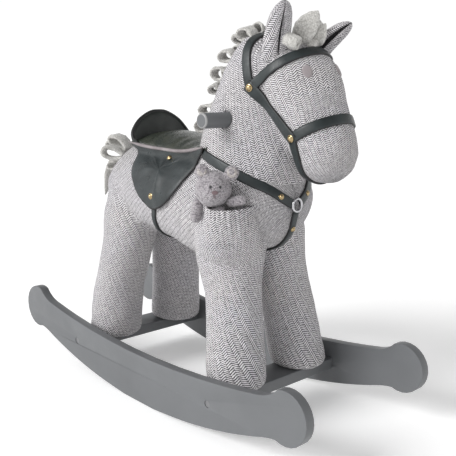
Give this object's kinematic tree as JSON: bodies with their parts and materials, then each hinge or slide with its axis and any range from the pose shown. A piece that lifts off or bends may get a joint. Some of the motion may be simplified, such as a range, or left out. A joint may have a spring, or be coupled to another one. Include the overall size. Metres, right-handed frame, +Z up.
{
  "type": "rocking horse",
  "caption": "Plush rocking horse on curved wooden rockers, with a leather saddle and bridle, a hand bar through the neck and a small bear that lifts out of a shoulder pocket.",
  "frame": {"origin": "on the floor, midway along and across the rockers", "axes": "+X towards the horse's nose, +Y towards the horse's left side, +Z up"},
  "size_m": [0.7, 0.27, 0.6009],
  "materials": {
    "tweed": "soft herringbone tweed, light grey and off-white",
    "leather": "dark slate artificial leather, semi-gloss, with black edges",
    "grey_paint": "satin mid-grey paint on wood with rounded edges",
    "timber": "planed softwood, unfinished",
    "steel": "bright nickel plate",
    "brass": "aged, domed and polished",
    "fleece": "soft cream and grey felted loops",
    "bear_plush": "short fuzzy pile, lilac grey"
  },
  "bodies": {
    "horse": {"rocker_right": "grey_paint", "rocker_left": "grey_paint", "crossboard_front": "grey_paint", "crossboard_rear": "grey_paint", "handle_bar": "grey_paint", "leg_post_front_right": "timber", "leg_post_front_left": "timber", "leg_post_rear_right": "timber", "leg_post_rear_left": "timber", "spine_board": "timber", "neck_board": "timber", "rocker_bolt_front_right": "steel", "rocker_bolt_front_left": "steel", "rocker_bolt_rear_right": "steel", "rocker_bolt_rear_left": "steel", "chest_ring": "steel", "torso": "tweed", "neck": "tweed", "head": "tweed", "leg_front_right": "tweed", "leg_front_left": "tweed", "leg_rear_right": "tweed", "leg_rear_left": "tweed", "ear_right": "tweed", "ear_left": "tweed", "pocket": "tweed", "crownpiece": "leather", "browband": "leather", "noseband": "leather", "chin_strap": "leather", "cheek_strap_right": "leather", "cheek_strap_left": "leather", "saddle_seat": "leather", "saddle_flap_right": "leather", "saddle_flap_left": "leather", "saddle_piping_right": "leather", "saddle_piping_left": "leather", "girth_strap": "leather", "breast_strap_right": "leather", "breast_strap_left": "leather", "belly_strap": "leather", "bridle_rivet_brow_right": "brass", "bridle_rivet_brow_left": "brass", "bridle_rivet_nose_right": "brass", "bridle_rivet_nose_left": "brass", "flap_stud_upper_right": "brass", "flap_stud_upper_left": "brass", "flap_stud_lower_right": "brass", "flap_stud_lower_left": "brass", "mane_tuft_1": "fleece", "mane_tuft_2": "fleece", "mane_tuft_3": "fleece", "mane_tuft_4": "fleece", "forelock": "fleece", "tail_tuft": "fleece", "tail_flap": "fleece"},
    "bear": {"bear_head": "bear_plush", "bear_body": "bear_plush", "bear_arm_right": "bear_plush", "bear_arm_left": "bear_plush"}
  },
  "joints": [
    {"name": "bear_pull", "type": "slide", "parent": "horse", "child": "bear", "axis": [0.2, -0.2, 0.9592], "range_m": [0, 0.07]}
  ]
}
